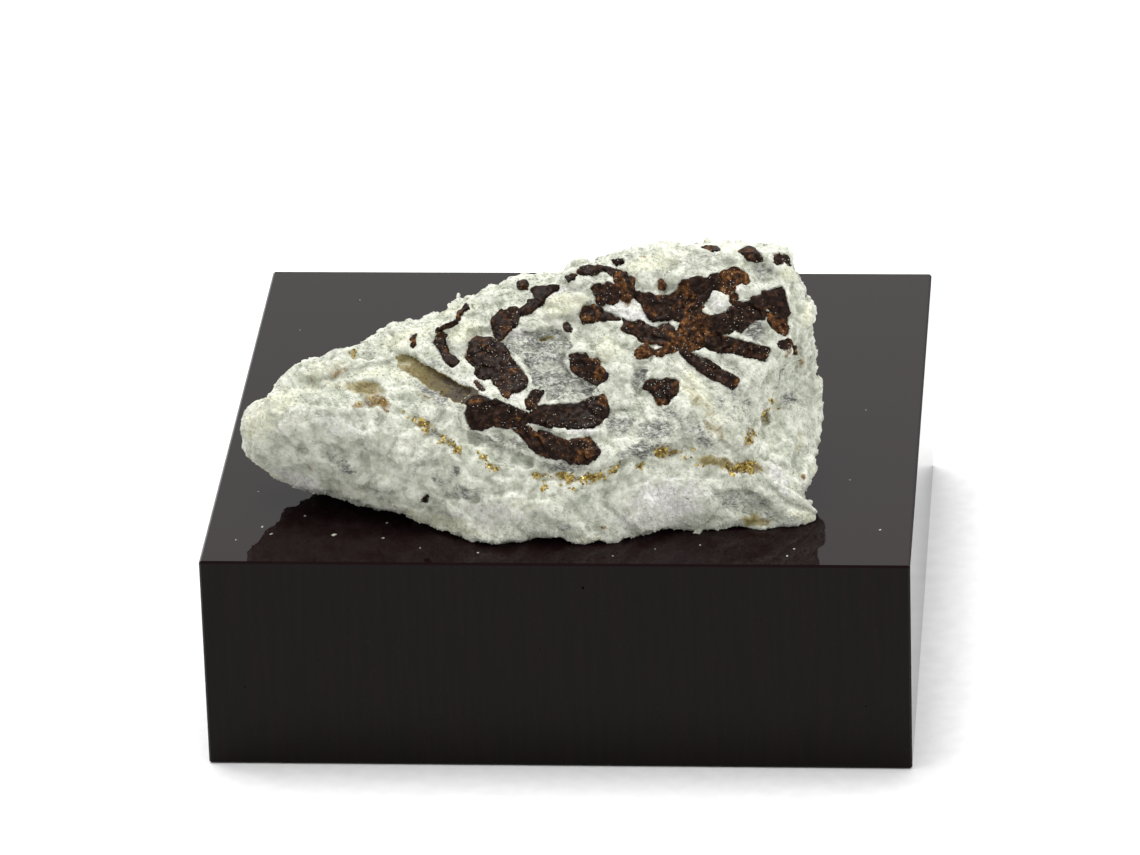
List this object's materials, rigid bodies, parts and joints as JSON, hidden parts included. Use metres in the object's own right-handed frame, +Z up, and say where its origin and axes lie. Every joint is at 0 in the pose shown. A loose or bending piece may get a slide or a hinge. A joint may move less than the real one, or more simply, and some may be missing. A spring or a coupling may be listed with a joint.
{
  "type": "mineral specimen",
  "caption": "Epidote schist hand specimen: dark prismatic crystals in a pale fine-grained matrix, resting on a square black display block.",
  "frame": {"origin": "middle of the display block's underside", "axes": "+Z up, the block's thickness; +X along the front edge, from the stone's pointed tip to its broken end; +Y from the crystal side to the back"},
  "size_m": [0.05, 0.05, 0.0327],
  "materials": {
    "matrix_rock": "sugary fine-grained stone, pale green-white",
    "dark_crystal": "vitreous on cleavage faces, rusty and dull where weathered",
    "display_block": "polished black acrylic"
  },
  "bodies": {
    "root": {"matrix_rock": "matrix_rock", "display_block": "display_block", "crystal_star_cluster": "dark_crystal", "crystal_left_twin": "dark_crystal", "crystal_mid": "dark_crystal", "crystal_bar": "dark_crystal", "crystal_lower": "dark_crystal", "crystal_right_small": "dark_crystal", "crystal_curl": "dark_crystal", "crystal_crest_left": "dark_crystal", "crystal_top_left": "dark_crystal", "crystal_top_middle": "dark_crystal", "crystal_top_right": "dark_crystal", "crystal_grain_left": "dark_crystal", "crystal_grain_middle": "dark_crystal", "crystal_grain_upper": "dark_crystal", "crystal_grain_crest": "dark_crystal", "crystal_grain_low": "dark_crystal"}
  },
  "joints": []
}
